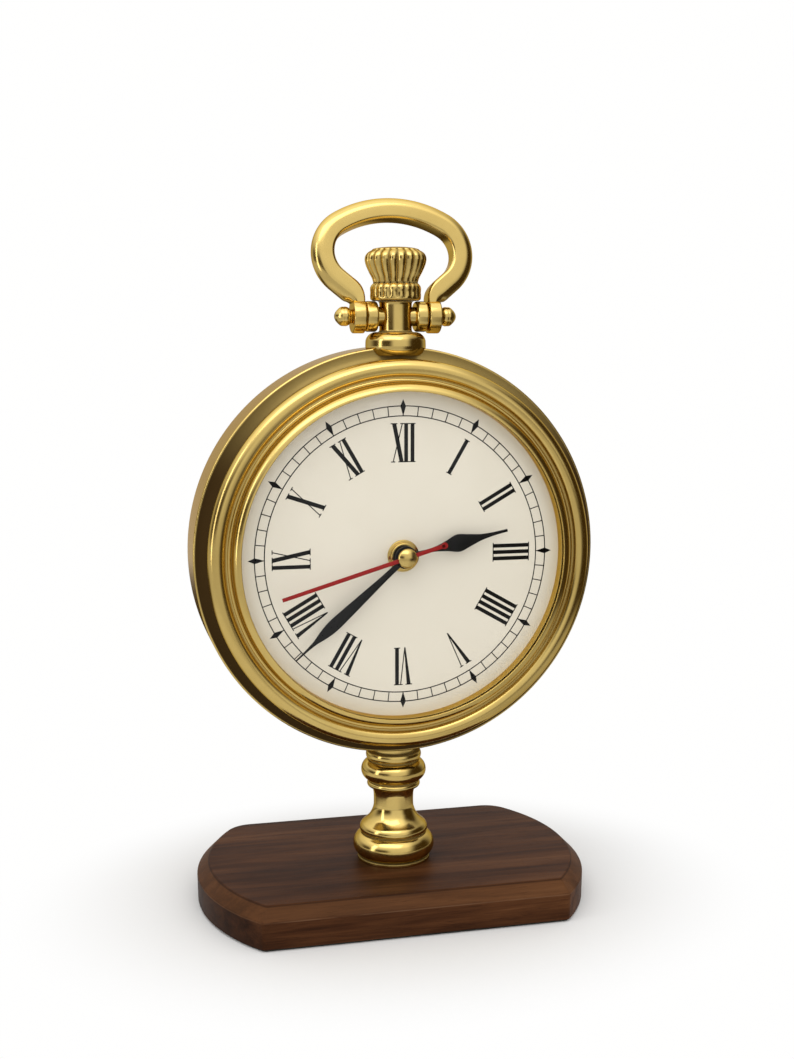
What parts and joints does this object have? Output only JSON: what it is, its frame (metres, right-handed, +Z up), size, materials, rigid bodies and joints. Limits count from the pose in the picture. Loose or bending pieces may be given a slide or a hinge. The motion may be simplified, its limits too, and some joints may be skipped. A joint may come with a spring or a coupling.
{
  "type": "desk clock",
  "caption": "Brass desk clock in the form of a pocket watch, with crown and swinging bow, on a turned pillar and a dark wooden base; quartz movement with three hands.",
  "frame": {"origin": "middle of the underside of the felt", "axes": "+Z up, the dial faces -Y, +X to its right"},
  "size_m": [0.1734, 0.1084, 0.3033],
  "materials": {
    "walnut": "oiled walnut, fine grain",
    "felt": "felt",
    "brass": "polished, slightly aged",
    "steel": "zinc plated",
    "glass": "clear",
    "dial_cream": "satin cream print",
    "plate_alloy": "plain",
    "hand_black": "satin black",
    "hand_red": "satin red",
    "housing": "black moulding",
    "wheels": "white moulding",
    "rubber": "plain",
    "copper": "enamelled copper wire",
    "board": "circuit board",
    "cell": "plain metal jacket"
  },
  "bodies": {
    "case_and_base": {"wooden_base": "walnut", "base_felt": "felt", "pedestal_foot": "brass", "pedestal_stem": "brass", "pedestal_collar": "brass", "case_drum": "brass", "dial_seat": "brass", "cover_seat": "brass", "bezel": "brass", "glass_ring": "brass", "rear_cover": "brass", "rear_cover_screws": "brass", "pendant_collar": "brass", "pendant_neck": "brass", "bow_screws": "brass", "movement_nut": "brass", "tie_rod": "steel", "base_washer": "steel", "base_nut": "steel", "case_washer": "steel", "case_nut": "steel", "pendant_nut": "steel", "stator": "steel", "quartz_crystal": "steel", "battery_contact_plus": "steel", "battery_contact_minus": "steel", "glass": "glass", "dial": "dial_cream", "dial_plate": "plate_alloy", "movement_front": "housing", "movement_back": "housing", "train_bridge": "housing", "coil_bobbin": "housing", "rubber_washer": "rubber", "coil_winding": "copper", "circuit_board": "board"},
    "hour": {"hour_wheel": "wheels", "hour_hand": "hand_black"},
    "minute": {"centre_wheel": "wheels", "minute_hand": "hand_black"},
    "second": {"seconds_wheel": "wheels", "second_hand": "hand_red", "hand_cap": "brass"},
    "third": {"third_wheel": "wheels"},
    "minute_train": {"minute_wheel": "wheels"},
    "intermediate": {"intermediate_wheel": "wheels"},
    "rotor_body": {"rotor": "wheels"},
    "knob": {"set_knob": "housing"},
    "crown_body": {"crown": "brass", "crown_stem": "steel", "stem_clip": "steel"},
    "bow_body": {"bow": "brass"},
    "cell_body": {"battery": "cell"}
  },
  "joints": [
    {"name": "second_turn", "type": "hinge", "parent": "case_and_base", "child": "second", "pos_m": [0, -0.0065, 0.1549], "axis": [0, 1, 0], "continuous": true},
    {"name": "minute_turn", "type": "hinge", "parent": "case_and_base", "child": "minute", "pos_m": [0, -0.0065, 0.1549], "axis": [0, 1, 0], "continuous": true},
    {"name": "hour_turn", "type": "hinge", "parent": "case_and_base", "child": "hour", "pos_m": [0, -0.0065, 0.1549], "axis": [0, 1, 0], "continuous": true},
    {"name": "third_turn", "type": "hinge", "parent": "case_and_base", "child": "third", "pos_m": [-0.00841, -0.0065, 0.16331], "axis": [0, 1, 0], "continuous": true},
    {"name": "minute_train_turn", "type": "hinge", "parent": "case_and_base", "child": "minute_train", "pos_m": [0.00866, -0.0065, 0.1599], "axis": [0, 1, 0], "continuous": true},
    {"name": "intermediate_turn", "type": "hinge", "parent": "case_and_base", "child": "intermediate", "pos_m": [0.00835, -0.0065, 0.15266], "axis": [0, 1, 0], "continuous": true},
    {"name": "rotor_turn", "type": "hinge", "parent": "case_and_base", "child": "rotor_body", "pos_m": [0.01671, -0.0065, 0.1534], "axis": [0, 1, 0], "continuous": true},
    {"name": "knob_turn", "type": "hinge", "parent": "case_and_base", "child": "knob", "pos_m": [0.0184, -0.0065, 0.16553], "axis": [0, 1, 0], "continuous": true},
    {"name": "crown_turn", "type": "hinge", "parent": "case_and_base", "child": "crown_body", "pos_m": [0, -0.0105, 0.2605], "axis": [0, 0, 1], "continuous": true},
    {"name": "bow_swing", "type": "hinge", "parent": "case_and_base", "child": "bow_body", "pos_m": [0, -0.0105, 0.254], "axis": [1, 0, 0], "range_deg": [-105, 115]},
    {"name": "cell_out", "type": "slide", "parent": "case_and_base", "child": "cell_body", "axis": [0, 1, 0], "range_m": [0, 0.045]}
  ],
  "couplings": [
    {"joint": "minute_turn", "follows": "second_turn", "ratio": 0.016667},
    {"joint": "hour_turn", "follows": "second_turn", "ratio": 0.0013889},
    {"joint": "third_turn", "follows": "second_turn", "ratio": -0.13333},
    {"joint": "minute_train_turn", "follows": "second_turn", "ratio": -0.0055556},
    {"joint": "intermediate_turn", "follows": "second_turn", "ratio": -5},
    {"joint": "rotor_turn", "follows": "second_turn", "ratio": 30},
    {"joint": "knob_turn", "follows": "second_turn", "ratio": 0.011111}
  ]
}
